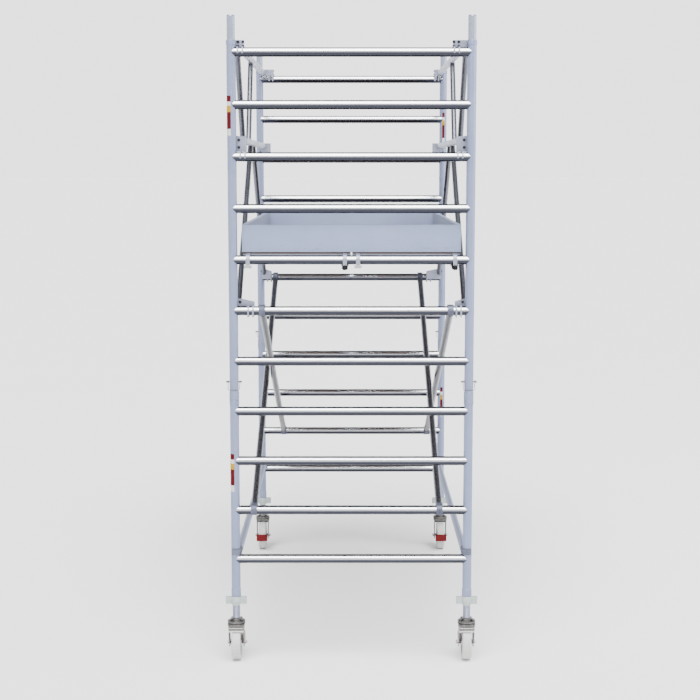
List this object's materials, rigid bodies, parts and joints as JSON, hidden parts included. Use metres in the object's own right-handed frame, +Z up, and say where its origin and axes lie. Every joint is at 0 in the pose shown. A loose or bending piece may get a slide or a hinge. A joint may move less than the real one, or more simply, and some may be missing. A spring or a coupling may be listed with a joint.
{
  "type": "mobile scaffold tower",
  "caption": "Wheeled aluminium scaffold tower with ladder end frames, a decked platform, toe boards, guardrails, braces and adjustable legs.",
  "frame": {"origin": "on the floor under the middle of the tower", "axes": "+Z up; X along the rungs; Y along the deck, from the front end frame (-Y) to the back end frame (+Y)"},
  "size_m": [1.419, 2.65, 3.587],
  "materials": {
    "upright": "satin extruded aluminium, matte with a cool cast",
    "rung": "polished ribbed extrusion",
    "spigot": "satin turned tube",
    "brace": "polished drawn tube",
    "claw": "cast aluminium, matte",
    "spindle": "rolled thread, satin",
    "deck_frame": "mill finish extrusion",
    "deck_board": "phenolic faced plywood with a wire pattern",
    "toe_board": "painted flat lavender grey",
    "pin_steel": "zinc plated",
    "castor_steel": "zinc plated pressed steel",
    "nut_plastic": "moulded, pale grey",
    "wheel": "moulded nylon, pale grey",
    "pedal": "red enamel",
    "wind_lock": "moulded, black"
  },
  "bodies": {
    "tower": {"front_lower_uprights": "upright", "front_upper_uprights": "upright", "front_lower_rungs": "rung", "front_upper_rungs": "rung", "back_lower_uprights": "upright", "back_upper_uprights": "upright", "back_lower_rungs": "rung", "back_upper_rungs": "rung", "spigots": "spigot", "lock_pins": "pin_steel", "left_deck_frame": "deck_frame", "right_deck_frame": "deck_frame", "left_deck": "deck_board", "right_deck": "deck_board", "front_toe_board": "toe_board", "back_toe_board": "toe_board", "side_toe_boards": "toe_board", "diagonal_braces": "brace", "side_braces": "brace", "brace_claws": "claw", "left_guardrail": "brace", "right_guardrail": "brace", "guard_brackets": "claw"},
    "leg_front_left": {"spindle_front_left": "spindle", "swivel_race_front_left": "castor_steel"},
    "nut_body_front_left": {"nut_front_left": "nut_plastic"},
    "castor_front_left": {"fork_front_left": "castor_steel", "axle_front_left": "pin_steel"},
    "wheel_body_front_left": {"wheel_front_left": "wheel"},
    "pedal_body_front_left": {"pedal_front_left": "pedal"},
    "leg_front_right": {"spindle_front_right": "spindle", "swivel_race_front_right": "castor_steel"},
    "nut_body_front_right": {"nut_front_right": "nut_plastic"},
    "castor_front_right": {"fork_front_right": "castor_steel", "axle_front_right": "pin_steel"},
    "wheel_body_front_right": {"wheel_front_right": "wheel"},
    "pedal_body_front_right": {"pedal_front_right": "pedal"},
    "leg_back_left": {"spindle_back_left": "spindle", "swivel_race_back_left": "castor_steel"},
    "nut_body_back_left": {"nut_back_left": "nut_plastic"},
    "castor_back_left": {"fork_back_left": "castor_steel", "axle_back_left": "pin_steel"},
    "wheel_body_back_left": {"wheel_back_left": "wheel"},
    "pedal_body_back_left": {"pedal_back_left": "pedal"},
    "leg_back_right": {"spindle_back_right": "spindle", "swivel_race_back_right": "castor_steel"},
    "nut_body_back_right": {"nut_back_right": "nut_plastic"},
    "castor_back_right": {"fork_back_right": "castor_steel", "axle_back_right": "pin_steel"},
    "wheel_body_back_right": {"wheel_back_right": "wheel"},
    "pedal_body_back_right": {"pedal_back_right": "pedal"},
    "hatch_body": {"hatch": "deck_board"},
    "wire_front_left": {"lock_wire_front_left": "pin_steel"},
    "wire_front_right": {"lock_wire_front_right": "pin_steel"},
    "wire_back_left": {"lock_wire_back_left": "pin_steel"},
    "wire_back_right": {"lock_wire_back_right": "pin_steel"},
    "lock_front_left": {"wind_lock_front_left": "wind_lock"},
    "lock_front_right": {"wind_lock_front_right": "wind_lock"},
    "lock_back_left": {"wind_lock_back_left": "wind_lock"},
    "lock_back_right": {"wind_lock_back_right": "wind_lock"}
  },
  "joints": [
    {"name": "leg_front_left", "type": "slide", "parent": "tower", "child": "leg_front_left", "axis": [0, 0, 1], "range_m": [-0.2, 0.06]},
    {"name": "nut_front_left", "type": "hinge", "parent": "tower", "child": "nut_body_front_left", "pos_m": [-0.65, -1.25, 0.352], "axis": [0, 0, 1], "range_deg": [-6100, 1900]},
    {"name": "swivel_front_left", "type": "hinge", "parent": "leg_front_left", "child": "castor_front_left", "pos_m": [-0.65, -1.25, 0.2215], "axis": [0, 0, 1], "continuous": true},
    {"name": "roll_front_left", "type": "hinge", "parent": "castor_front_left", "child": "wheel_body_front_left", "pos_m": [-0.65, -1.225, 0.1], "axis": [1, 0, 0], "continuous": true},
    {"name": "brake_front_left", "type": "hinge", "parent": "castor_front_left", "child": "pedal_body_front_left", "pos_m": [-0.65, -1.225, 0.1], "axis": [-1, 0, 0], "range_deg": [0, 14]},
    {"name": "leg_front_right", "type": "slide", "parent": "tower", "child": "leg_front_right", "axis": [0, 0, 1], "range_m": [-0.2, 0.06]},
    {"name": "nut_front_right", "type": "hinge", "parent": "tower", "child": "nut_body_front_right", "pos_m": [0.65, -1.25, 0.352], "axis": [0, 0, 1], "range_deg": [-6100, 1900]},
    {"name": "swivel_front_right", "type": "hinge", "parent": "leg_front_right", "child": "castor_front_right", "pos_m": [0.65, -1.25, 0.2215], "axis": [0, 0, 1], "continuous": true},
    {"name": "roll_front_right", "type": "hinge", "parent": "castor_front_right", "child": "wheel_body_front_right", "pos_m": [0.65, -1.225, 0.1], "axis": [1, 0, 0], "continuous": true},
    {"name": "brake_front_right", "type": "hinge", "parent": "castor_front_right", "child": "pedal_body_front_right", "pos_m": [0.65, -1.225, 0.1], "axis": [-1, 0, 0], "range_deg": [0, 14]},
    {"name": "leg_back_left", "type": "slide", "parent": "tower", "child": "leg_back_left", "axis": [0, 0, 1], "range_m": [-0.2, 0.06]},
    {"name": "nut_back_left", "type": "hinge", "parent": "tower", "child": "nut_body_back_left", "pos_m": [-0.65, 1.25, 0.352], "axis": [0, 0, 1], "range_deg": [-6100, 1900]},
    {"name": "swivel_back_left", "type": "hinge", "parent": "leg_back_left", "child": "castor_back_left", "pos_m": [-0.65, 1.25, 0.2215], "axis": [0, 0, 1], "continuous": true},
    {"name": "roll_back_left", "type": "hinge", "parent": "castor_back_left", "child": "wheel_body_back_left", "pos_m": [-0.65, 1.225, 0.1], "axis": [1, 0, 0], "continuous": true},
    {"name": "brake_back_left", "type": "hinge", "parent": "castor_back_left", "child": "pedal_body_back_left", "pos_m": [-0.65, 1.225, 0.1], "axis": [1, 0, 0], "range_deg": [0, 14]},
    {"name": "leg_back_right", "type": "slide", "parent": "tower", "child": "leg_back_right", "axis": [0, 0, 1], "range_m": [-0.2, 0.06]},
    {"name": "nut_back_right", "type": "hinge", "parent": "tower", "child": "nut_body_back_right", "pos_m": [0.65, 1.25, 0.352], "axis": [0, 0, 1], "range_deg": [-6100, 1900]},
    {"name": "swivel_back_right", "type": "hinge", "parent": "leg_back_right", "child": "castor_back_right", "pos_m": [0.65, 1.25, 0.2215], "axis": [0, 0, 1], "continuous": true},
    {"name": "roll_back_right", "type": "hinge", "parent": "castor_back_right", "child": "wheel_body_back_right", "pos_m": [0.65, 1.225, 0.1], "axis": [1, 0, 0], "continuous": true},
    {"name": "brake_back_right", "type": "hinge", "parent": "castor_back_right", "child": "pedal_body_back_right", "pos_m": [0.65, 1.225, 0.1], "axis": [1, 0, 0], "range_deg": [0, 14]},
    {"name": "hatch", "type": "hinge", "parent": "tower", "child": "hatch_body", "pos_m": [0.533, 0.675, 2.3145], "axis": [0, 1, 0], "range_deg": [0, 95]},
    {"name": "wire_front_left", "type": "hinge", "parent": "tower", "child": "wire_front_left", "pos_m": [-0.65, -1.25, 1.595], "axis": [-1, 0, 0], "range_deg": [0, 110]},
    {"name": "wire_front_right", "type": "hinge", "parent": "tower", "child": "wire_front_right", "pos_m": [0.65, -1.25, 1.595], "axis": [-1, 0, 0], "range_deg": [0, 110]},
    {"name": "wire_back_left", "type": "hinge", "parent": "tower", "child": "wire_back_left", "pos_m": [-0.65, 1.25, 1.595], "axis": [1, 0, 0], "range_deg": [0, 110]},
    {"name": "wire_back_right", "type": "hinge", "parent": "tower", "child": "wire_back_right", "pos_m": [0.65, 1.25, 1.595], "axis": [1, 0, 0], "range_deg": [0, 110]},
    {"name": "wind_lock_front_left", "type": "hinge", "parent": "tower", "child": "lock_front_left", "pos_m": [-0.036, -1.202, 2.241], "axis": [1, 0, 0], "range_deg": [0, 70]},
    {"name": "wind_lock_front_right", "type": "hinge", "parent": "tower", "child": "lock_front_right", "pos_m": [0.567, -1.202, 2.241], "axis": [1, 0, 0], "range_deg": [0, 70]},
    {"name": "wind_lock_back_left", "type": "hinge", "parent": "tower", "child": "lock_back_left", "pos_m": [-0.036, 1.202, 2.241], "axis": [-1, 0, 0], "range_deg": [0, 70]},
    {"name": "wind_lock_back_right", "type": "hinge", "parent": "tower", "child": "lock_back_right", "pos_m": [0.567, 1.202, 2.241], "axis": [-1, 0, 0], "range_deg": [0, 70]}
  ],
  "couplings": [
    {"joint": "nut_front_left", "follows": "leg_front_left", "rad_per_m": 523.6},
    {"joint": "nut_front_right", "follows": "leg_front_right", "rad_per_m": 523.6},
    {"joint": "nut_back_left", "follows": "leg_back_left", "rad_per_m": 523.6},
    {"joint": "nut_back_right", "follows": "leg_back_right", "rad_per_m": 523.6}
  ]
}
